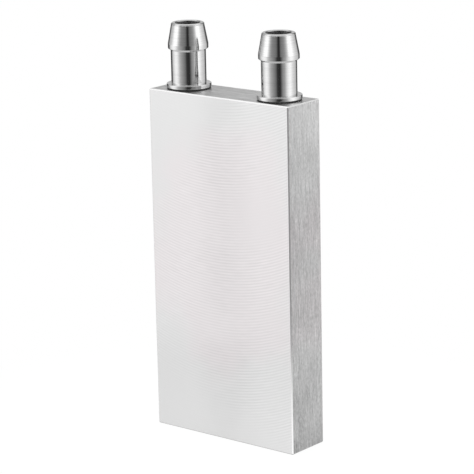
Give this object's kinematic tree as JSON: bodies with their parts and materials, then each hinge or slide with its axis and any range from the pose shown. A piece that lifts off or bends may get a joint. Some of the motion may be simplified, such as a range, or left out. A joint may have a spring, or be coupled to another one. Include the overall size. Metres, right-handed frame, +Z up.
{
  "type": "liquid cooling cold plate",
  "caption": "Slim upright aluminium cold plate with fly-cut cooling faces and ribbed coolant galleries, fed through barbed hose nozzles on its top end.",
  "frame": {"origin": "middle of the block's base, on the surface that it stands on", "axes": "+Z up towards the nozzles, +X from the inlet to the outlet, the fly-cut cooling face looks along -Y"},
  "size_m": [0.04, 0.0116, 0.095],
  "materials": {
    "machined_aluminium": "fly-cut broad faces, brushed ends and sides",
    "bright_plating": "bright nickel plating over turned metal",
    "seal_rubber": "matt black"
  },
  "bodies": {
    "root": {"channel_block": "machined_aluminium", "port_plug": "machined_aluminium", "return_plug": "machined_aluminium", "inlet_nozzle": "bright_plating", "outlet_nozzle": "bright_plating", "inlet_seal": "seal_rubber", "outlet_seal": "seal_rubber"}
  },
  "joints": []
}
